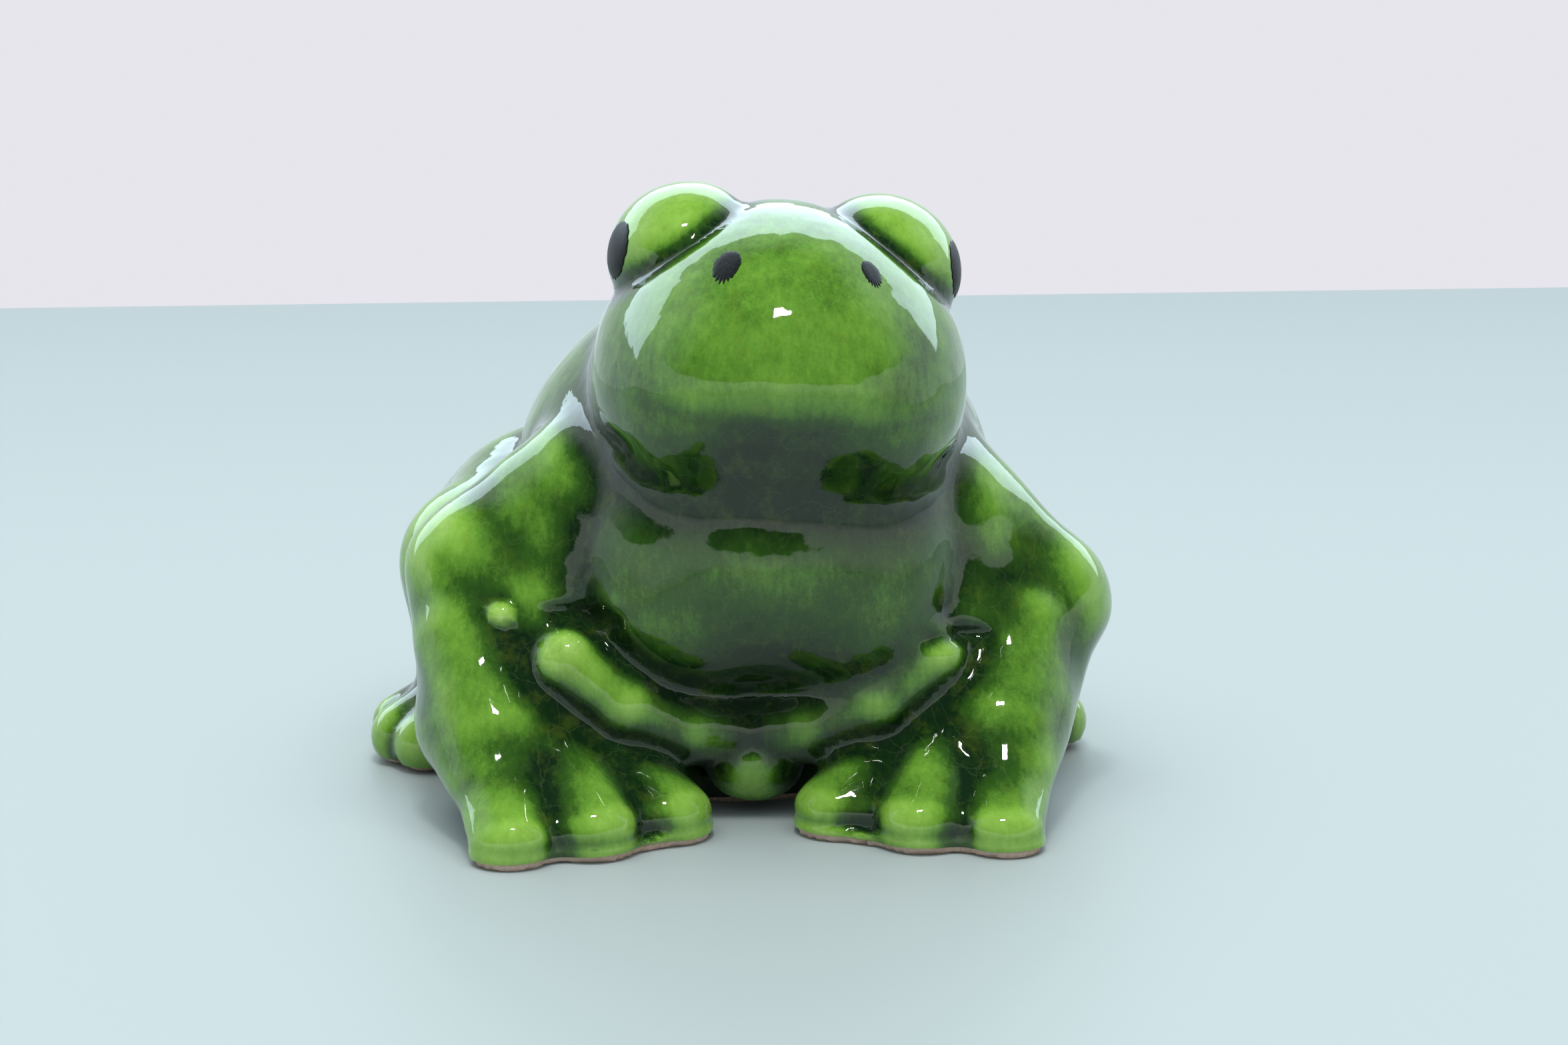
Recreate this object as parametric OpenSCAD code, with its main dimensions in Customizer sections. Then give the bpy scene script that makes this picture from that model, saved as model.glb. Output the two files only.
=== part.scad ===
// Sitting frog figurine: a hollow slip-cast earthenware body under a clear green glaze,
// with brushed black pupils and nostrils. It faces -Y and stands on Z = 0.

/* [Overall] */
// Height from the standing surface to the top of the higher eye
frog_height = 74.8; // [60:0.1:100]
// Width across the hind feet
frog_width = 91.6; // [74:0.1:120]
// Length from the fingertips to the rump
frog_length = 95.3; // [74:0.1:120]
// Sideways lean of head and body over the flat foot, in degrees
lean = 4; // [0:0.5:6]
// How far head and body stand to the left of the foot's middle
sway = 0.8; // [0:0.1:3]

/* [Casting] */
// Thickness of the cast clay wall
wall = 3.6; // [2.5:0.1:5]
// Thickness of the ledge that the mould's base plate leaves under the fingers
ledge_h = 1.3; // [1:0.1:2]
// Diameter of the pour hole in the underside
pour_hole_d = 12; // [6:0.5:16]

/* [Glaze] */
// Thickness of the glaze over the clay
glaze_t = 0.4; // [0.2:0.05:0.6]
// Height of the bare clay left above the standing surface
bare_foot = 0.9; // [0.5:0.1:2]

/* [Painted marks] */
// Thickness of the black paint on the glaze
paint_t = 0.2; // [0.1:0.05:0.4]
// Width of a brushed nostril
nostril_w = 2.7; // [1.5:0.1:4]
// Height of a brushed nostril
nostril_h = 4; // [2:0.1:6]
// Width of a pupil
pupil_w = 7; // [4:0.1:9]
// Height of a pupil
pupil_h = 7; // [4:0.1:10]

/* [Hidden] */
$fn = 16;

// Every place below is drawn for a frog of this width, length and height, and then scaled.
drawn = [91.6, 95.3, 74.8];
k = [frog_width / drawn.x, frog_length / drawn.y, frog_height / drawn.z];
k_round = pow(k.x * k.y * k.z, 1 / 3);
cavity_fn = 14;
paint_reach = 14;
ledge_inset = 0.2;
ledge_taper = 0.6;
mass_fn = 20;
plinth_fn = 32;
hole_fn = 48;
mark_fn = 32;
RIGHT = -1;
LEFT = 1;

function at(p) = [p.x * k.x, p.y * k.y, p.z * k.z];
function leaned(p) = [p.x * cos(lean) + p.z * sin(lean) + sway, p.y, p.z * cos(lean) - p.x * sin(lean)];
function side_of(p, side) = [side * p.x, p.y, p.z];
function size_of(ball) = ball[3] * k_round;

// Balls are [x, y, z, radius], drawn for the frog's left side before it leans.
eye_front = [11.8, -13.5, 64.9, 9];
eye_back = [11.2, -8, 64.6, 8.8];
shoulder = [21, -6, 35.2, 9.2];
elbow = [34, -10, 25.2, 9.2];
wrist = [30.2, -20.5, 11.8, 8];
palm_r = 6.8;
knuckles = [[29.6, -30, 7.8, 5.8], [22.3, -28.6, 8, 5.4], [13.6, -25.2, 7.6, 5.1]];
fingertips = [[27.9, -39.6, 3.6, 5.2], [18.3, -37, 3.5, 5.3], [9, -31, 3.4, 4.8]];
hip = [20, 24, 21, 18];
knee = [31.2, 9, 24.3, 9.5];
heel = [28, 21, 6, 8];
instep = [32.5, 10, 5.5, 6];
toe_tips = [[41.8, 12.5, 3, 3.4], [41.6, 5.2, 3.3, 3.8], [38.5, 1.2, 3.2, 3.5]];
pour_hole = [0, 22, 0];
lap = [[0, -18.5, 6.2, 4.2], [10, -19, 10, 3.8], [17, -18.5, 13, 3.8], [25, -17, 18.6, 4]];

module ball(b, side, grow) {
    translate(at(leaned(side_of(b, side)))) sphere(size_of(b) + grow);
}
module planted_ball(b, side, grow) {
    translate(at(side_of(b, side))) sphere(size_of(b) + grow);
}
module mass(centre, radii, tilt, grow) {
    translate(at(leaned(centre)))
        rotate([tilt, lean, 0])
            scale([for (i = [0:2]) radii[i] * k[i] + grow]) sphere(1, $fn = mass_fn);
}

module head(grow) {
    hull() {
        mass([0, -14, 50.5], [22, 27.3, 13.5], 0, grow);
        mass([0, -14, 56], [20.5, 25, 16.3], 0, grow);
    }
    for (side = [RIGHT, LEFT]) hull() {
        ball(eye_front, side, grow);
        ball(eye_back, side, grow);
    }
}

module torso(grow) {
    mass([0, -8, 34.5], [25.5, 26, 24], 0, grow);
    mass([0, 8, 34], [29.5, 34, 26.5], -12, grow);
    mass([0, 26, 21], [25, 24, 22], 0, grow);
}

// The flat plate of the mould stands out a little past each rounded fingertip.
module ledge(knuckle, tip, side, grow) {
    r = size_of(tip) - ledge_inset;
    hull() {
        translate(at(side_of([tip.x, tip.y, 0], side))) cylinder(h = ledge_h + grow, r = r + grow);
        translate(at(side_of([knuckle.x, knuckle.y, 0], side)))
            cylinder(h = ledge_h + grow, r = r * ledge_taper + grow);
    }
}

module foreleg(side, grow) {
    hull() {
        ball(shoulder, side, grow);
        ball(elbow, side, grow);
    }
    hull() {
        ball(elbow, side, grow);
        planted_ball(wrist, side, grow);
    }
    for (i = [0:2]) {
        hull() {
            planted_ball([wrist.x, wrist.y, wrist.z, palm_r], side, grow);
            planted_ball(knuckles[i], side, grow);
        }
        hull() {
            planted_ball(knuckles[i], side, grow);
            planted_ball(fingertips[i], side, grow);
        }
        ledge(knuckles[i], fingertips[i], side, grow);
    }
}

module hindleg(side, grow) {
    hull() {
        planted_ball(hip, side, grow);
        planted_ball(knee, side, grow);
    }
    hull() {
        planted_ball(heel, side, grow);
        planted_ball(instep, side, grow);
    }
    hull() {
        planted_ball(knee, side, grow);
        planted_ball(instep, side, grow);
    }
    for (b = toe_tips) hull() {
        planted_ball(instep, side, grow);
        planted_ball(b, side, grow);
    }
}

module lap_fold(side, grow) {
    for (i = [0:len(lap) - 2]) hull() {
        planted_ball(lap[i], side, grow);
        planted_ball(lap[i + 1], side, grow);
    }
}

module plinth(grow) {
    translate(at([0, 12, 0])) scale([26 * k.x + grow, 29.5 * k.y + grow, 1])
        cylinder(h = 10 * k.z, r = 1, center = true, $fn = plinth_fn);
}

module above(z) {
    translate([-frog_width, -frog_length, z]) cube([2 * frog_width, 2 * frog_length, 2 * frog_height]);
}

module form(grow, from = 0) {
    intersection() {
        union() {
            head(grow);
            torso(grow);
            plinth(grow);
            for (side = [RIGHT, LEFT]) {
                foreleg(side, grow);
                hindleg(side, grow);
                lap_fold(side, grow);
            }
        }
        above(from);
    }
}

module cavity() {
    $fn = cavity_fn;
    intersection() {
        union() {
            head(-wall);
            torso(-wall);
            for (side = [RIGHT, LEFT]) hull() {
                planted_ball(hip, side, -wall);
                planted_ball(knee, side, -wall);
            }
        }
        above(wall);
    }
    translate(at(pour_hole)) cylinder(h = wall * 4, d = pour_hole_d, center = true, $fn = hole_fn);
}

module clay_body() {
    color("peachpuff") difference() {
        form(0);
        cavity();
    }
}

module glaze_coat() {
    color("forestgreen") difference() {
        form(glaze_t, from = bare_foot);
        form(0);
    }
}

// A brush mark lies between the glaze's own surface and one raised by the paint.
module mark(side, aim, toward, mark_w, mark_h) {
    color("black") difference() {
        intersection() {
            form(glaze_t + paint_t, from = bare_foot);
            translate(at(leaned(side_of(aim, side))))
                rotate([0, lean, 0]) rotate([toward.x, 0, side * toward.y])
                    rotate([90, 0, 0]) scale([mark_w / 2, mark_h / 2, 1])
                        cylinder(h = paint_reach, r = 1, $fn = mark_fn);
        }
        form(glaze_t);
    }
}

module nostril(side) {
    mark(side, [7.6, -22, 61], [-38, 3], nostril_w, nostril_h);
}

module pupil(side) {
    mark(side, eye_front, [-8, 68], pupil_w, pupil_h);
}

clay_body();
glaze_coat();
nostril(RIGHT);  // nostril_right
nostril(LEFT);  // nostril_left
pupil(RIGHT);  // pupil_right
pupil(LEFT);  // pupil_left
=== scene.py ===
import math
import bmesh
import bpy
import numpy as np
import openvdb
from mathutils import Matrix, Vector


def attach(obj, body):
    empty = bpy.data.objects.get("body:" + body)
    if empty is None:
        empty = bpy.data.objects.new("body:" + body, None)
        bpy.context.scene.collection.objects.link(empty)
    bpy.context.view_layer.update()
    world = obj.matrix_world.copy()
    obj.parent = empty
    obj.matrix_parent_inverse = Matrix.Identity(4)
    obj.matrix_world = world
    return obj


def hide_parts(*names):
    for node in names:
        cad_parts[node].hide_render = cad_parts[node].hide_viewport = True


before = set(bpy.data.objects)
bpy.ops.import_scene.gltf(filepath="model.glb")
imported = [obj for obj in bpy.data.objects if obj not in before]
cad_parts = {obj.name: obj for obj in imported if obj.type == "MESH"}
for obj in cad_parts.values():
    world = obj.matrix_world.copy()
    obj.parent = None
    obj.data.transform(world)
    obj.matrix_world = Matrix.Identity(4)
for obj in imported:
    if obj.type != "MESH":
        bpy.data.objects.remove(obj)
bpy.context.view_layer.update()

# ---------------------------------------------------------------- the viewer
# Someone's eye half a metre away, a little above the frog and a few degrees round to its right
# hand, looking at the breast.

MM = 0.001
aim = Vector((5, -15, 34)) * MM
eye_distance = 480 * MM
eye_rise, eye_turn = math.radians(12), math.radians(-5)
eye_way = Vector((math.sin(eye_turn) * math.cos(eye_rise),
                  -math.cos(eye_turn) * math.cos(eye_rise),
                  math.sin(eye_rise)))

viewer = bpy.data.objects.new("viewer", bpy.data.cameras.new("viewer"))
bpy.context.scene.collection.objects.link(viewer)
viewer.location = aim + eye_distance * eye_way
viewer.rotation_euler = (math.pi / 2 - eye_rise, 0, eye_turn)
viewer.data.sensor_width = 36
viewer.data.lens = 91.8
viewer.data.clip_start = 10 * MM
bpy.context.scene.camera = viewer

# ---------------------------------------------------------------- the clay body
# The frog is one hollow casting of pinkish earthenware, drained through a hole in its foot. Its
# shape is built as the mould's maker did, from rolled and pressed lumps, placed in millimetres. Head
# and trunk are drawn upright and then lean to the frog's left. Legs and hands stand as drawn.

LEAN, SWAY = math.radians(4), 0.8
BOTH_SIDES = (-1, 1)


def sit_straight(p):
    """The place a point of the finished frog had before the body leaned."""
    x, z = p[:, 0] - SWAY, p[:, 2]
    return np.stack([x * math.cos(LEAN) - z * math.sin(LEAN), p[:, 1],
                     x * math.sin(LEAN) + z * math.cos(LEAN)], 1)


def leaned(points):
    """Points of the frog that sits up straight, carried over with the body's lean."""
    x, z = points[:, 0], points[:, 2]
    return np.stack([x * math.cos(LEAN) + z * math.sin(LEAN) + SWAY, points[:, 1],
                     z * math.cos(LEAN) - x * math.sin(LEAN)], 1)


def lean_over(x, y, z, r):
    """A ball on the straight frog, carried to where the body's lean puts it."""
    return (*leaned(np.array([[x, y, z]]))[0], r)


def on_side(side, *balls):
    """Balls drawn for the frog's left, or their mirror images for its right."""
    return [(side * ball[0], *ball[1:]) for ball in balls]


def reach(v):
    """The length of each vector."""
    return np.sqrt(np.einsum("ij,ij->i", v, v))


def egg(p, centre, radii, nod=0.0, under=None):
    """How far points are from an egg-shaped lump, tipped about X by nod degrees. under is its
    reach downwards, where that differs from its reach upwards."""
    q = p - np.array(centre)
    if nod:
        c, s = math.cos(math.radians(nod)), math.sin(math.radians(nod))
        q = np.stack([q[:, 0], c * q[:, 1] + s * q[:, 2], c * q[:, 2] - s * q[:, 1]], 1)
    rx, ry, rz = radii
    rz = rz if under is None else np.where(q[:, 2] < 0, under, rz)
    x, y, z = q[:, 0] / rx, q[:, 1] / ry, q[:, 2] / rz
    near = np.sqrt(x * x + y * y + z * z)
    steep = np.sqrt((x / rx)**2 + (y / ry)**2 + (z / rz)**2)
    return near * (near - 1) / np.maximum(steep, 1e-6)


def roll(p, a, b):
    """How far points are from clay rolled between two balls, each x, y, z, radius."""
    along, taper = np.subtract(b[:3], a[:3]), a[3] - b[3]
    long_ = along @ along
    flank = long_ - taper**2
    off = p - np.array(a[:3])
    y = off @ along
    x2 = ((off * long_ - y[:, None] * along)**2).sum(1)
    y2, z2 = y * y * long_, (y - long_)**2 * long_
    bound = math.copysign(taper**2, taper) * x2
    side = (np.sqrt(x2 * flank / long_) + y * taper) / long_ - a[3]
    near_a = np.sqrt(x2 + y2) / long_ - a[3]
    near_b = np.sqrt(x2 + z2) / long_ - b[3]
    return np.where(np.sign(y - long_) * flank * z2 > bound, near_b,
                    np.where(np.sign(y) * flank * y2 < bound, near_a, side))


def plate(p, a, b, height):
    """How far points are from a flat plate on the ground, round about two balls."""
    start, along = np.array(a[:2]), np.subtract(b[:2], a[:2])
    t = np.clip((p[:, :2] - start) @ along / (along @ along), 0, 1)
    out = reach(p[:, :2] - start - t[:, None] * along) - (a[3] + t * (b[3] - a[3]))
    up = p[:, 2] - height
    within = np.minimum(np.maximum(out, up), 0)
    return within + reach(np.stack([np.maximum(out, 0), np.maximum(up, 0)], 1))


def press(a, b, thumb):
    """Two lumps pressed into each other, their seam smoothed by a thumb of that width."""
    h = np.maximum(thumb - np.abs(a - b), 0) / thumb
    return np.minimum(a, b) - h**3 * thumb / 6


def squashed_roll(p, a, b, squash=1.35):
    """A roll that was patted down, so that it is lower than it is wide."""
    flat = (1, 1, squash)
    a, b = (*np.multiply(a[:3], flat), a[3]), (*np.multiply(b[:3], flat), b[3])
    return roll(p * flat, a, b) / 1.15


EYE = (11.5, -11, 64.8)


def head(q):
    """A broad egg cut off slanting under the chin, with a mouth line and a bulging eye each side."""
    d = egg(q, (0, -14, 51), (22, 27.3, 21.3), under=18)
    x, y, z = np.abs(q[:, 0]), q[:, 1], q[:, 2]
    chin_cut = (q - (0, -40.2, 51)) @ (0, -0.81, -0.586) + x * x / 110
    d = -press(-d, -chin_cut, 4)
    in_front = np.clip((-12 - y) / 4, 0, 1)
    lips = 49.6 + 1.2 * (x / 17.5)**2
    mouth = 0.13 * np.clip((19.5 - x) / 3, 0, 1) * np.exp(-((z - lips) / 1.1)**2)
    corner = 0.6 * np.exp(-((x - 19.6)**2 + (z - 44)**2) / 1.6**2)
    d = d + in_front * (mouth + corner)
    for side in BOTH_SIDES:
        eye = egg(q, np.multiply(EYE, (side, 1, 1)), (9.2, 11.2, 8.8))
        socket_groove = 0.4 * np.exp(-((d - eye) / 1.3)**2)
        d = press(d, eye, 2.4) + socket_groove
    return d


def trunk(q):
    """Breast, a full belly to either side, the humped back and the rump."""
    d = egg(q, (0, -8, 31), (24.5, 26, 18.5), under=18)
    for side in BOTH_SIDES:
        d = press(d, egg(q, (side * 10, -12, 25), (12.5, 18.5, 12)), 6)
    d = press(d, egg(q, (0, 8, 34), (29.3, 34, 26.2), nod=-12), 9)
    return press(d, egg(q, (0, 26, 21), (25, 23.5, 22)), 12)


def hand(p, side):
    """Three flat fingers, webbed to near their tips, on the thin ledge of the mould's plate."""
    ledge = 1.3
    palm, = on_side(side, (29.4, -21, 11, 7.6))
    knuckles = on_side(side, (29.8, -30, 7.6, 5.2), (22.6, -29, 7.4, 5.4), (15.2, -25.4, 7, 5))
    tips = on_side(side, (28.6, -39.6, 2.6, 4.3), (19.2, -36.6, 2.9, 5), (9.8, -31, 3, 4.5))
    webs = (on_side(side, (26, -29, 6.8, 4.9), (24.2, -36.4, 2.6, 3.7)),
            on_side(side, (18.8, -27, 6.4, 4.9), (14.2, -32.4, 2.8, 3.9)))
    d = squashed_roll(p, palm, knuckles[0])
    for knuckle, tip in zip(knuckles, tips):
        finger = np.minimum(squashed_roll(p, palm, knuckle), squashed_roll(p, knuckle, tip))
        d = press(d, finger, 2.4)
    for web in webs:
        d = press(d, squashed_roll(p, *web), 2)
    mids = [0.35 * np.array(knuckle) + 0.65 * np.array(tip) for knuckle, tip in zip(knuckles, tips)]
    for a, b, a_r, b_r in ((mids[0], tips[0], 3, 4.4), (mids[1], tips[1], 3, 5.1),
                           (mids[2], tips[2], 3, 4.6), (tips[0], tips[1], 3, 3),
                           (tips[1], tips[2], 4, 4)):
        d = press(d, plate(p, (*a[:3], a_r), (*b[:3], b_r), ledge), 1.2)
    return d


def foreleg(p, side):
    """An arm bent at the elbow, filled out along its front and inside, down to the hand."""
    shoulder = lean_over(side * 21, -6, 35.2, 9)
    armpit = lean_over(side * 21.5, -11, 34.5, 8)
    elbow = lean_over(side * 33.9, -10, 25.2, 8.6)
    wrist, = on_side(side, (30.2, -20.5, 11.8, 7.6))
    shin = on_side(side, (33.2, -17.5, 21, 5.2), (30.4, -26.5, 11.5, 5.2))
    inner = on_side(side, (24.4, -16.5, 23, 5.4), (23.6, -20.5, 13, 6))
    d = press(roll(p, shoulder, elbow), roll(p, elbow, wrist), 2)
    d = press(press(d, roll(p, *shin), 3), roll(p, *inner), 5)
    d = press(d, roll(p, armpit, inner[0]), 8)
    d = press(d, hand(p, side), 7)
    lumpy = np.sin(p @ (0.45, 0.25, 0.3) + 2 * side) * np.sin(p @ (0.1, -0.4, 0.42))
    return d + 0.13 * lumpy


HIP, KNEE = (20, 24, 21, 18), (31, 9, 24.2, 9.3)


def thigh(p, side):
    return roll(p, *on_side(side, HIP, KNEE))


def hind_leg(p, side):
    """A thick folded leg, with the foot flat on the ground and three toes pointing outwards."""
    knee, heel, instep = on_side(side, KNEE, (28, 21, 6, 8), (32.5, 10, 5.5, 6))
    toes = on_side(side, (41.5, 12.5, 3, 3.4), (41.2, 5.2, 3.3, 3.8), (38.5, 1.2, 3.2, 3.5))
    d = press(thigh(p, side), roll(p, heel, instep), 3)
    d = press(d, roll(p, knee, instep), 4)
    for toe in toes:
        d = press(d, roll(p, instep, toe), 1.5)
    return d


def lap(p):
    """The folded shins meet in a ridge under the belly, over a small bulge at the middle."""
    d = egg(p, (0.8, -22, 6.2), (5.6, 3.6, 4.2))
    for side in BOTH_SIDES:
        ridge = on_side(side, (0, -20.4, 9.8, 4), (8, -23.4, 11.2, 4.2),
                        (15, -25, 14.4, 4.4), (21.5, -24.2, 19.4, 4.1))
        for a, b in zip(ridge, ridge[1:]):
            d = press(d, roll(p, a, b), 1.2)
    return d


# A bead of glaze froze in the crook of the right elbow.
BEAD, BEAD_SIZE = (-28.9, -21.3, 24.8), (2, 2.2, 1.6)
FOOT_Y, FOOT_ACROSS, FOOT_ALONG, FOOT_HIGH = 12, 26, 29.5, 4
# Slow waves of a hand-made surface, each a direction, a length and a start.
HAND_MADE = (((0.8, 0.5, -0.3), 3.1, 0.4), ((-0.4, 0.7, 0.6), 4.3, 1.7), ((0.3, -0.6, 0.75), 2.3, 2.9))


def foot(p):
    """The oval that the figure stands on, domed where it meets the belly."""
    rounded = (p - (0, FOOT_Y, 0)) / (1, FOOT_ALONG / FOOT_ACROSS, 1)
    flat = plate(rounded, (-0.1, 0, 0, FOOT_ACROSS), (0.1, 0, 0, FOOT_ACROSS), FOOT_HIGH)
    return press(flat, egg(p, (0, FOOT_Y, 4), (25.5, 29.3, 10)), 3)


def frog(p):
    """How far points, in millimetres, are from the frog's outer surface: below zero is inside."""
    q = sit_straight(p)
    d = press(trunk(q), head(q), 5.5)
    for side in BOTH_SIDES:
        d = press(d, hind_leg(p, side), 4)
    d = press(d, lap(p), 4)
    # Where an arm meets the belly, the joint is tooled to a sharper groove than at the shoulder.
    low = np.clip((29 - p[:, 2]) / 6, 0, 1)
    for side in BOTH_SIDES:
        arm = foreleg(p, side)
        tooled = press(d, arm, 3.5) + 0.25 * np.exp(-((d - arm) / 2.2)**2)
        d = (1 - low) * press(d, arm, 4) + low * tooled
    # A fold runs across the inner side of each elbow.
    x, y, z = np.abs(q[:, 0]), q[:, 1], q[:, 2]
    crook = np.clip((x - 17) / 2, 0, 1) * np.clip((28 - x) / 3, 0, 1) * np.clip((-13 - y) / 2, 0, 1)
    d = d + 0.7 * crook * np.exp(-((z - 23.6) / 0.9)**2)
    d = press(d, egg(p, BEAD, BEAD_SIZE), 0.6)
    d = press(d, foot(p), 4)
    waves = (np.sin(p @ np.array(way) / length + turn) for way, length, turn in HAND_MADE)
    return d + 0.05 * sum(waves)


def in_batches(distance, p, most=150_000):
    """What a function gives for many points, worked out for some of them at a time."""
    return np.concatenate([distance(p[i:i + most]) for i in range(0, len(p), most)])


def slope(distance, p, step=0.2):
    """Unit vectors along which distance grows fastest: outwards, on a surface."""
    g = np.stack([distance(p + d) - distance(p - d) for d in np.eye(3) * step], 1)
    return g / (reach(g)[:, None] + 1e-12)


# The block of air, a little bigger than the frog, that is searched for its surfaces.
BLOCK_LOW, BLOCK_HIGH = np.array((-48.0, -48.0, -3.0)), np.array((48.0, 53.0, 78.0))


def skin(distance, pitch, levelling=2):
    """The surface where distance is zero, as points and quads, its roughness levelled by averaging.
    A rough grid finds the cells near it, and only they are divided to the full pitch."""
    low, high = BLOCK_LOW, BLOCK_HIGH
    rough = 4
    cells = np.ceil((high - low) / (pitch * rough)).astype(int)
    grids = [low[i] + pitch * rough * (np.arange(cells[i]) + 0.5) for i in range(3)]
    centres = np.stack(np.meshgrid(*grids, indexing="ij"), -1).reshape(-1, 3)
    far = in_batches(distance, centres).reshape(cells)
    band = np.abs(far) < pitch * rough * 1.6
    field = np.repeat(np.repeat(np.repeat(far, rough, 0), rough, 1), rough, 2).astype(np.float32)
    close = np.repeat(np.repeat(np.repeat(band, rough, 0), rough, 1), rough, 2)
    places = np.argwhere(close)
    field[close] = in_batches(distance, low + pitch * (places + 0.5))
    volume = openvdb.FloatGrid(float(field.max()))
    volume.copyFromArray(field)
    points, quads = volume.convertToQuads(isovalue=0.0)
    points = low + pitch * (points.astype(float) + 0.5)
    quads = quads.astype(int)
    edges = np.concatenate([quads[:, [i, (i + 1) % 4]] for i in range(4)])
    count = np.bincount(edges.ravel(), minlength=len(points))
    # Every second pass pushes out again what the one before it shrank.
    for step in range(2 * levelling):
        total = np.stack([np.bincount(edges[:, 0], points[edges[:, 1], i], len(points))
                          + np.bincount(edges[:, 1], points[edges[:, 0], i], len(points))
                          for i in range(3)], 1)
        pull = 0.5 if step % 2 == 0 else -0.52
        points = points + pull * (total / count[:, None] - points)
    points = points - 0.8 * slope(distance, points) * in_batches(distance, points)[:, None]
    a, b, c = (points[quads[::20, i]] for i in range(3))
    if np.median(np.einsum("ij,ij->i", np.cross(b - a, c - a), slope(distance, a))) < 0:
        quads = quads[:, ::-1]
    return points, quads


def fired(name, points, faces, outwards=None):
    """A mesh object from points in millimetres, smooth all over. outwards gives its shading."""
    mesh = bpy.data.meshes.new(name)
    mesh.from_pydata((np.asarray(points) * MM).tolist(), [], [list(f) for f in faces])
    mesh.polygons.foreach_set("use_smooth", np.ones(len(mesh.polygons), bool))
    if outwards is not None:
        mesh.normals_split_custom_set_from_vertices(outwards.tolist())
    piece = bpy.data.objects.new(name, mesh)
    bpy.context.scene.collection.objects.link(piece)
    return piece


WALL = 3.6
POUR_HOLE_Y, POUR_HOLE_R = 22, 6


def poured_out(p):
    """How far points are from the hollow that the drained slip left, and its hole in the foot."""
    q = sit_straight(p)
    lump = press(trunk(q), head(q), 7)
    for side in BOTH_SIDES:
        lump = np.minimum(lump, thigh(p, side))
    hole = np.maximum(np.hypot(p[:, 0], p[:, 1] - POUR_HOLE_Y) - POUR_HOLE_R, p[:, 2] - 2 * WALL)
    return np.minimum(np.maximum(lump, -p[:, 2]) + WALL, hole)


def cast_clay(p):
    """How far points are from the clay: the frog above the ground, less what was poured out."""
    return np.maximum(np.maximum(frog(p), -p[:, 2]), -poured_out(p))


def wire(tree, kind, inputs=None, **settings):
    """Adds a shader node. An input is a value, or another node's output to link it to."""
    node = tree.nodes.new(kind)
    for name, value in settings.items():
        setattr(node, name, value)
    for name, value in (inputs or {}).items():
        if isinstance(value, bpy.types.NodeSocket):
            tree.links.new(value, node.inputs[name])
        else:
            node.inputs[name].default_value = value
    return node


def ramp(tree, value, *stops):
    """Colours that follow a value, each stop a place and a linear colour."""
    node = wire(tree, "ShaderNodeValToRGB", {"Fac": value})
    while len(node.color_ramp.elements) < len(stops):
        node.color_ramp.elements.new(0.5)
    for element, (place, colour) in zip(node.color_ramp.elements, stops):
        element.position = place
        element.color = (*colour, 1)
    return node.outputs["Color"]


def blank_finish(name):
    """A new material with its node tree, its surface shader and the object's own coordinates."""
    material = bpy.data.materials.new(name)
    material.use_nodes = True
    tree = material.node_tree
    where = wire(tree, "ShaderNodeTexCoord").outputs["Object"]
    return material, tree, tree.nodes["Principled BSDF"], where


bisque, tree, shader, where = blank_finish("bisque")
grain = wire(tree, "ShaderNodeTexNoise", {"Vector": where, "Scale": 2600, "Detail": 4})
stain = wire(tree, "ShaderNodeTexNoise", {"Vector": where, "Scale": 140, "Detail": 3})
both = wire(tree, "ShaderNodeMath", {0: grain.outputs["Fac"], 1: stain.outputs["Fac"]}, operation="ADD")
tone = wire(tree, "ShaderNodeMath", {0: both.outputs[0], 1: 0.5}, operation="MULTIPLY")
colour = ramp(tree, tone.outputs[0],
              (0.35, (0.58, 0.38, 0.30)), (0.5, (0.74, 0.53, 0.43)), (0.65, (0.82, 0.64, 0.55)))
tree.links.new(colour, shader.inputs["Base Color"])
shader.inputs["Roughness"].default_value = 0.85
shader.inputs["IOR"].default_value = 1.45
pits = wire(tree, "ShaderNodeBump", {"Height": grain.outputs["Fac"], "Distance": 0.00008, "Strength": 0.6})
tree.links.new(pits.outputs["Normal"], shader.inputs["Normal"])

CLAY_PITCH = 0.95
points, quads = skin(cast_clay, CLAY_PITCH)
points[:, 2] = np.maximum(points[:, 2], 0)
clay = fired("clay_casting", points, quads)
clay.data.materials.append(bisque)
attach(clay, "root")
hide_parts("clay_body")

# ---------------------------------------------------------------- the green glaze
# A glass coat over all the clay above the foot's edge. It ran thin over ridges and fingertips, so
# the pale clay shows through there, and gathered dark in every crease. Its colour also has painted
# shade in hollows, on places that face down and under the chin. The foot was wiped clean.

COAT, THINNEST, THICKEST = 0.4, 0.2, 0.5
BARE_FOOT = 0.9
LOWEST_OUTSIDE, LOWEST_INSIDE = 0.6, 0.3
GLAZE_PITCH = 0.91


def glazed(p):
    """How far points are from the glaze's outer surface."""
    return frog(p) - COAT


def bend(p, step):
    """How sharply the surface bends at a scale of step: above zero on ridges, below in creases."""
    around = sum(frog(p + d) + frog(p - d) for d in np.eye(3) * step)
    return (around - 6 * frog(p)) / step**2


def sheltered(p, feeler=3.5):
    """How walled in a place is: above zero where other clay is nearer than the feeler's end."""
    return 1 - frog(p + feeler * slope(frog, p)) / feeler


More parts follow.
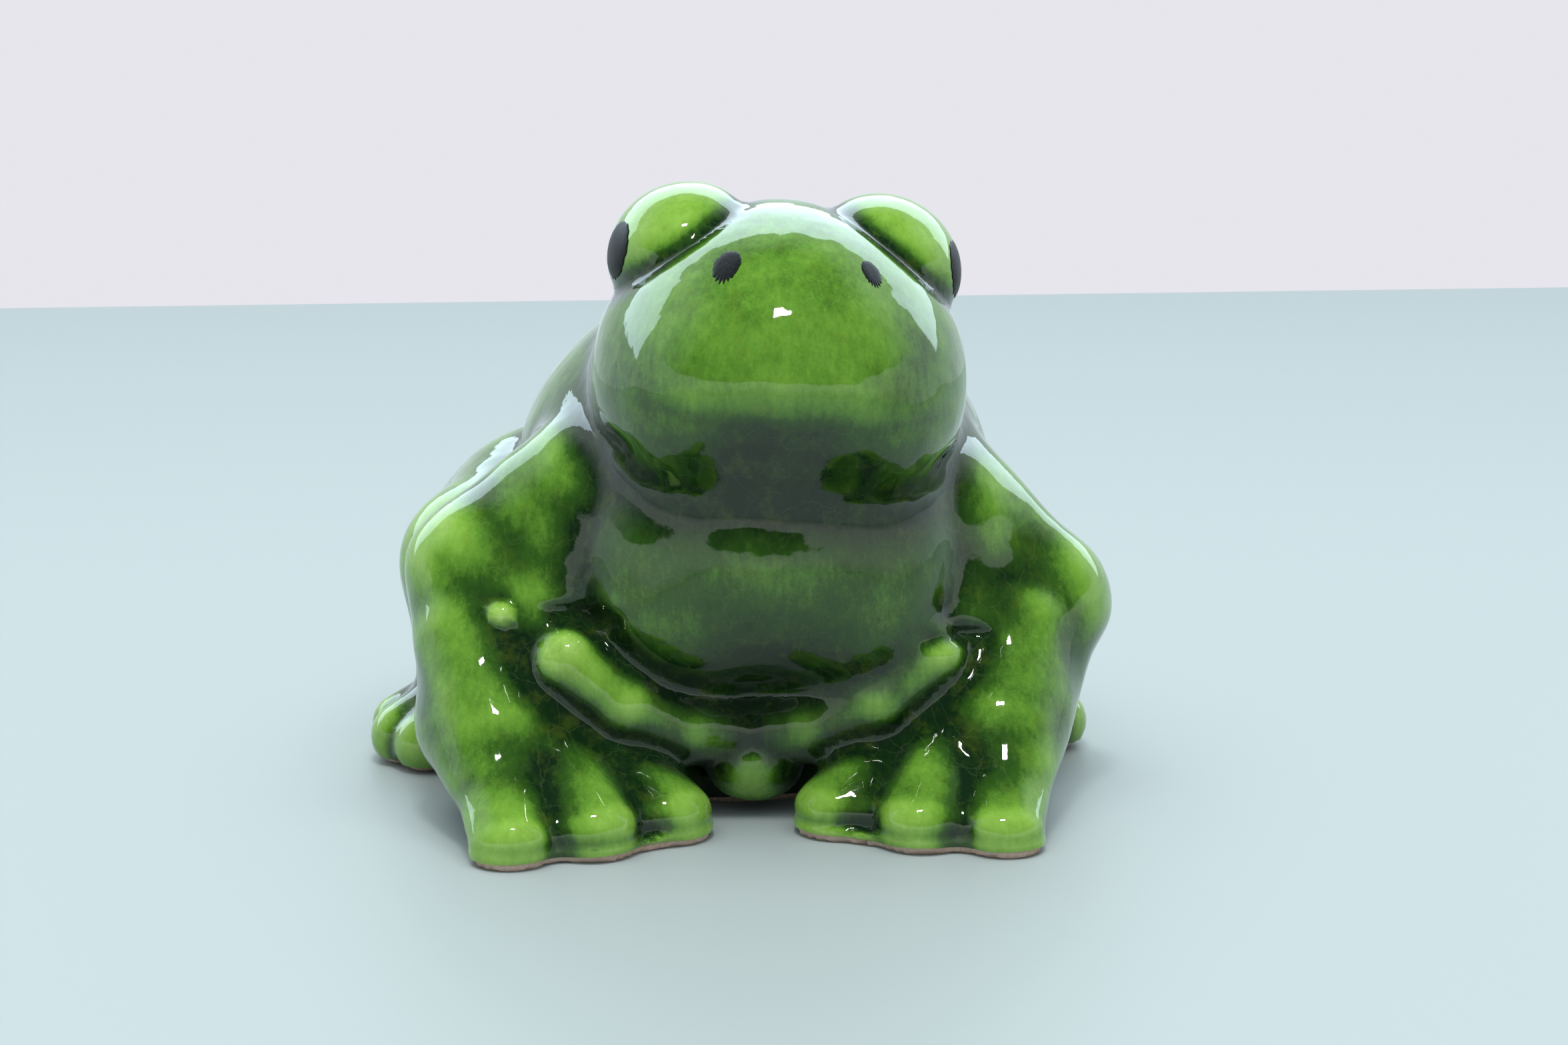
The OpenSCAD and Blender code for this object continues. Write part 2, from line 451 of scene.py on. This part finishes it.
# The coat's outside is cut off at the foot's edge, where its rim wavers a little. Its inside lies on
# the clay, and a narrow band joins the two.
points, quads = skin(glazed, GLAZE_PITCH)
coat = bmesh.new()
above = points[:, 2] > -1
corners = [coat.verts.new(p) for p in points]
for quad in quads[above[quads].all(1)]:
    coat.faces.new([corners[i] for i in quad])
bmesh.ops.bisect_plane(coat, geom=coat.verts[:] + coat.edges[:] + coat.faces[:], dist=0.02,
                       plane_co=(0, 0, BARE_FOOT), plane_no=(0, 0, 1), clear_inner=True)
bmesh.ops.delete(coat, geom=[v for v in coat.verts if not v.link_faces], context="VERTS")
coat.verts.index_update()
outside = np.array([v.co for v in coat.verts])
edge = np.array([v.is_boundary for v in coat.verts])
x, y = outside[:, 0], outside[:, 1]
wave = np.sin(x / 2.3 + 1) + np.sin(y / 1.9) + np.sin((x - y) / 3.1)
outside[edge, 2] += 0.08 * wave[edge]
outside[:, 2] = np.maximum(outside[:, 2], LOWEST_OUTSIDE)
out = in_batches(lambda p: slope(frog, p, 0.3), outside)
inside = outside - out * np.clip(in_batches(frog, outside), THINNEST, THICKEST)[:, None]
inside[:, 2] = np.maximum(inside[:, 2], np.where(edge, outside[:, 2], LOWEST_INSIDE))

faces = [[v.index for v in f.verts] for f in coat.faces]
rim = [[corner.vert.index, corner.link_loop_next.vert.index]
       for f in coat.faces for corner in f.loops if corner.edge.is_boundary]
coat.free()
n = len(outside)
shell = faces + [[i + n for i in reversed(f)] for f in faces] + [[b, a, a + n, b + n] for a, b in rim]
glaze = fired("green_glaze_coat", np.concatenate([outside, inside]), shell, np.concatenate([out, -out]))

# How dark the glaze is, from 0, so thin that the pale clay shows, to 1, nearly black. Ridges and creases of
# three sizes give the glaze's own thin and pooling places. Hollows get deeper pooling and painted shade,
# places that face down and the breast under the chin get painted shade, and the colour is darker towards
# the bottom.
small, large, broad = (in_batches(lambda p, step=step: bend(p, step), outside)
                       for step in (0.9, 2.6, 6))
shelter = in_batches(sheltered, outside)
x, y, z = np.abs(outside[:, 0]), outside[:, 1], outside[:, 2]
pooled_and_shaded = 0.63 - 1.0 * np.clip(large - 0.06, -0.4, 0.3)
pooled_and_shaded -= 0.9 * np.clip(broad - 0.06, -0.12, 0.15)
pooled_and_shaded -= 0.1 * np.clip(small - 0.2, 0, 0.8)
pooled_and_shaded += 0.12 * np.clip(-small, 0, 1.5)
# Hollows: deeper pooling of the glaze, and painted shade.
pooled_and_shaded += 0.2 * np.clip(shelter - 0.1, 0, 1)
# Darker towards the bottom.
pooled_and_shaded += 0.15 * np.clip((24 - z) / 12, 0, 1)
# Painted shade where the surface faces down.
pooled_and_shaded += 0.3 * np.clip(-out[:, 2], 0, 0.8)
# Painted shade on the breast under the chin.
breast = np.clip((24 - x) / 4, 0, 1) * np.clip((-18 - y) / 4, 0, 1) * np.clip((60 - z) / 9, 0, 1)
above_lap = np.clip((z - 15 - 9 * (x / 22)**2) / 3, 0, 1)
pooled_and_shaded += 0.14 * breast * above_lap
# The attribute holds the glaze's pooling and the painted shade together.
pooled_and_shaded_layer = glaze.data.attributes.new("pooled_and_shaded", "FLOAT", "POINT")
pooled_and_shaded_layer.data.foreach_set("value", np.tile(np.clip(pooled_and_shaded, 0, 1), 2).astype(np.float32))

green, tree, shader, where = blank_finish("green_glaze")
# The attribute read here is glaze pooling plus painted shade. The noises below add the glaze's own
# mottling.
pooled_and_shaded_fac = wire(tree, "ShaderNodeAttribute", attribute_name="pooled_and_shaded").outputs["Fac"]
cloud = wire(tree, "ShaderNodeTexNoise", {"Vector": where, "Scale": 170, "Detail": 4, "Roughness": 0.6})
strokes = wire(tree, "ShaderNodeMapping",
               {"Vector": where, "Scale": (1.6, 1, 0.55), "Rotation": (0.2, 0.5, 0.3)})
brush = wire(tree, "ShaderNodeTexNoise",
             {"Vector": strokes.outputs[0], "Scale": 900, "Detail": 4, "Roughness": 0.6})
speck = wire(tree, "ShaderNodeTexNoise", {"Vector": where, "Scale": 3000, "Detail": 2})
for texture, amount in ((cloud, 0.36), (brush, 0.22), (speck, 0.12)):
    swing = wire(tree, "ShaderNodeMath", {0: texture.outputs["Fac"], 1: 0.5}, operation="SUBTRACT")
    pooled_and_shaded_fac = wire(tree, "ShaderNodeMath", {0: swing.outputs[0], 1: amount, 2: pooled_and_shaded_fac},
                 operation="MULTIPLY_ADD").outputs[0]
colour = ramp(tree, pooled_and_shaded_fac,
              (0.05, (0.44, 0.68, 0.20)), (0.25, (0.27, 0.50, 0.08)), (0.42, (0.18, 0.38, 0.045)),
              (0.57, (0.10, 0.25, 0.026)), (0.72, (0.032, 0.10, 0.011)), (1.0, (0.005, 0.02, 0.006)))
rust = wire(tree, "ShaderNodeTexNoise", {"Vector": where, "Scale": 330, "Detail": 5, "Roughness": 0.65})
patch = wire(tree, "ShaderNodeMapRange",
             {"Value": rust.outputs["Fac"], "From Min": 0.52, "From Max": 0.68, "To Max": 0.25})
colour = wire(tree, "ShaderNodeMix", {0: patch.outputs[0], 6: colour, 7: (0.11, 0.17, 0.015, 1)},
              data_type="RGBA").outputs[2]
drift = wire(tree, "ShaderNodeVectorMath", {0: cloud.outputs["Color"], "Scale": 0.003}, operation="SCALE")
strayed = wire(tree, "ShaderNodeVectorMath", {0: where, 1: drift.outputs[0]}, operation="ADD")
craze = wire(tree, "ShaderNodeTexVoronoi", {"Vector": strayed.outputs[0], "Scale": 260},
             feature="DISTANCE_TO_EDGE")
crack = wire(tree, "ShaderNodeMapRange",
             {"Value": craze.outputs["Distance"], "From Max": 0.02, "To Min": 0.05, "To Max": 0})
colour = wire(tree, "ShaderNodeMix", {0: crack.outputs[0], 6: colour, 7: (0.36, 0.50, 0.20, 1)},
              data_type="RGBA").outputs[2]
tree.links.new(colour, shader.inputs["Base Color"])
shader.inputs["Roughness"].default_value = 0.04
shader.inputs["IOR"].default_value = 1.6
ripple = wire(tree, "ShaderNodeTexNoise", {"Vector": where, "Scale": 120, "Detail": 2})
dimple = wire(tree, "ShaderNodeTexNoise", {"Vector": where, "Scale": 700, "Detail": 2})
height = wire(tree, "ShaderNodeMath", {0: dimple.outputs["Fac"], 1: 0.04, 2: ripple.outputs["Fac"]},
              operation="MULTIPLY_ADD")
skin_bump = wire(tree, "ShaderNodeBump", {"Height": height.outputs[0], "Distance": 0.0003, "Strength": 1.0})
tree.links.new(skin_bump.outputs["Normal"], shader.inputs["Normal"])
glaze.data.materials.append(green)
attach(glaze, "root")
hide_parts("glaze_coat")

# ---------------------------------------------------------------- nostrils and pupils
# Four dabs of black enamel, brushed over the fired glaze by hand: two small ones for the nostrils
# and a big one on the outer side of each eye. The brush left ragged edges, and hairs below each
# nostril. The right nostril is the bigger one.

PAINT, PAINT_EDGE, BITE = 0.09, 0.01, 0.05


def brush_dab(name, side, middle, toward, width, height, hairs, turn):
    """A thin closed patch on the glaze. toward is how far it faces round to the side, and up, and
    hairs is how far the brush dragged its lower edge. It starts in the air before its middle, and
    is laid down until it meets the glaze."""
    round_, up_ = math.radians(toward[0]), math.radians(toward[1])
    face = np.array([side * math.sin(round_) * math.cos(up_),
                     -math.cos(round_) * math.cos(up_),
                     math.sin(up_)])
    across = np.cross((0, 0, 1), face)
    across /= np.linalg.norm(across)
    rise = np.cross(face, across)
    angles = np.linspace(0, 2 * math.pi, 120, endpoint=False)
    ragged = 1 + 0.05 * np.sin(2 * angles + turn)
    ragged += 0.015 * np.sin(7 * angles + 2 * turn) + 0.015 * np.sin(17 * angles + 3 * turn)
    below = np.clip(-np.sin(angles), 0, 1)**3
    ragged += hairs * below * (0.5 + 0.5 * np.sin(23 * np.cos(angles) + turn))
    rings = np.linspace(0, 1, 14)
    u = np.outer(rings, ragged * np.cos(angles)) * width / 2
    v = np.outer(rings, ragged * np.sin(angles)) * height / 2
    in_the_air = 12
    start = np.array(middle) * (side, 1, 1) + in_the_air * face
    p = leaned(start + u.reshape(-1, 1) * across + v.reshape(-1, 1) * rise)
    ahead = leaned(-face[None]) - leaned(np.zeros((1, 3)))
    for _ in range(30):
        p = p + ahead * glazed(p)[:, None] * 0.9
    lift = PAINT * np.repeat(1 - rings**6, len(angles))[:, None] + PAINT_EDGE
    out = slope(glazed, p)
    top, under = p + out * lift, p - BITE * out
    m, whole = len(angles), len(p)
    faces = []
    for ring in range(1, len(rings) - 1):
        for i in range(m):
            a, b = ring * m + i, ring * m + (i + 1) % m
            faces += [[a, a + m, b + m, b], [whole + a, whole + b, whole + b + m, whole + a + m]]
    last = (len(rings) - 1) * m
    for i in range(m):
        j = (i + 1) % m
        faces += [[0, m + i, m + j], [whole, whole + m + j, whole + m + i],
                  [last + i, whole + last + i, whole + last + j, last + j]]
    dab = fired(name, np.concatenate([top, under]), faces)
    closed = bmesh.new()
    closed.from_mesh(dab.data)
    bmesh.ops.delete(closed, geom=[v for v in closed.verts if not v.link_faces], context="VERTS")
    bmesh.ops.recalc_face_normals(closed, faces=closed.faces[:])
    closed.to_mesh(dab.data)
    closed.free()
    return dab


enamel, tree, shader, where = blank_finish("black_enamel")
drawn_out = wire(tree, "ShaderNodeMapping", {"Vector": where, "Scale": (1, 1, 0.2)})
hair = wire(tree, "ShaderNodeTexNoise", {"Vector": drawn_out.outputs[0], "Scale": 4200, "Detail": 3})
colour = ramp(tree, hair.outputs["Fac"], (0.4, (0.003, 0.005, 0.005)), (0.6, (0.007, 0.011, 0.011)),
              (0.75, (0.02, 0.028, 0.03)))
tree.links.new(colour, shader.inputs["Base Color"])
shader.inputs["Roughness"].default_value = 0.4
shader.inputs["Specular IOR Level"].default_value = 0.15
furrow = wire(tree, "ShaderNodeBump", {"Height": hair.outputs["Fac"], "Distance": 0.00004, "Strength": 0.7})
tree.links.new(furrow.outputs["Normal"], shader.inputs["Normal"])

for word, side, turn in (("right", -1, 0.4), ("left", 1, 2.6)):
    for mark, middle, toward, width, height, hairs in (
            ("nostril", (7.6, -26, 64.5), (12, 35), 2.8 - 0.4 * side, 4.3 - 0.5 * side, 0.3),
            ("pupil", EYE, (70, 7), 7, 7, 0.05)):
        dab = brush_dab(f"{mark}_{word}_paint", side, middle, toward, width, height, hairs, turn)
        dab.data.materials.append(enamel)
        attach(dab, "root")
        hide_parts(f"{mark}_{word}")

# ---------------------------------------------------------------- where it stands
# A pale painted board, one small lamp high in front, and a soft ceiling. The broad window behind the
# frog is two lights: one gives its reflection, the other its soft daylight. The room before the frog
# is pale up to table height and dark above.

board_side, board_back = 900, 380
board = [(-board_side, -board_side, 0), (board_side, -board_side, 0),
         (board_side, board_back, 0), (-board_side, board_back, 0)]
floor = fired("floor", board, [[0, 1, 2, 3]])
pale, tree, shader, _ = blank_finish("pale_paint")
shader.inputs["Base Color"].default_value = (0.37, 0.44, 0.45, 1)
shader.inputs["Roughness"].default_value = 0.5
shader.inputs["Specular IOR Level"].default_value = 0.2
floor.data.materials.append(pale)


def area_light(name, place, target, size, power, colour):
    """A soft rectangular light, places in millimetres, that the viewer doesn't see directly."""
    light = bpy.data.lights.new(name, "AREA")
    light.shape = "RECTANGLE"
    light.size, light.size_y = size[0] * MM, size[1] * MM
    light.energy = power
    light.color = colour
    lamp = bpy.data.objects.new(name, light)
    bpy.context.scene.collection.objects.link(lamp)
    lamp.location = Vector(place) * MM
    lamp.rotation_euler = (Vector(target) * MM - lamp.location).to_track_quat("-Z", "Y").to_euler()
    lamp.visible_camera = False
    return lamp


pane = ((0, 900, 690), (0, 0, 690), (3300, 780))
window = area_light("window", *pane, 25, (0.68, 0.86, 1.0))
window.visible_diffuse = False
daylight = area_light("daylight", *pane, 8.5, (0.72, 0.88, 1.0))
daylight.visible_glossy = False
area_light("lamp", (-40, -330, 950), (0, 0, 40), (150, 60), 2.6, (1.0, 0.98, 0.94))
ceiling = area_light("ceiling", (-20, -120, 950), (0, -20, 30), (1100, 800), 7, (1.0, 0.98, 0.94))
ceiling.visible_glossy = False

world = bpy.data.worlds.new("room")
bpy.context.scene.world = world
world.use_nodes = True
tree = world.node_tree
tree.nodes.clear()
way = wire(tree, "ShaderNodeSeparateXYZ", {0: wire(tree, "ShaderNodeTexCoord").outputs["Generated"]})
before = ramp(tree, way.outputs["Z"], (0.0, (0.55, 0.62, 0.60)), (0.1, (0.88, 0.95, 0.92)),
              (0.25, (0.88, 0.95, 0.92)), (0.27, (0.04, 0.05, 0.05)))
behind = ramp(tree, way.outputs["Z"],
              (0.0, (0.8, 0.9, 1.0)), (0.7, (0.9, 0.95, 1.0)), (0.9, (0.04, 0.05, 0.05)))
share = wire(tree, "ShaderNodeMapRange", {"Value": way.outputs["Y"], "From Min": -0.2, "From Max": 0.3})
seen = wire(tree, "ShaderNodeMix", {0: share.outputs[0], 6: before, 7: behind}, data_type="RGBA")
sky = ramp(tree, way.outputs["Z"], (0.0, (0.16, 0.17, 0.17)), (0.6, (0.66, 0.70, 0.72)))
paths = wire(tree, "ShaderNodeLightPath")
lit = wire(tree, "ShaderNodeMix", {0: paths.outputs["Is Diffuse Ray"], 6: seen.outputs[2], 7: sky},
           data_type="RGBA")
room = wire(tree, "ShaderNodeBackground", {"Color": lit.outputs[2], "Strength": 1.0})
plain = wire(tree, "ShaderNodeBackground", {"Color": (0.80, 0.79, 0.84, 1), "Strength": 1.0})
shown = wire(tree, "ShaderNodeMixShader",
             {0: paths.outputs["Is Camera Ray"], 1: room.outputs[0], 2: plain.outputs[0]})
wire(tree, "ShaderNodeOutputWorld", {"Surface": shown.outputs[0]})
bpy.context.scene.view_settings.view_transform = "Standard"
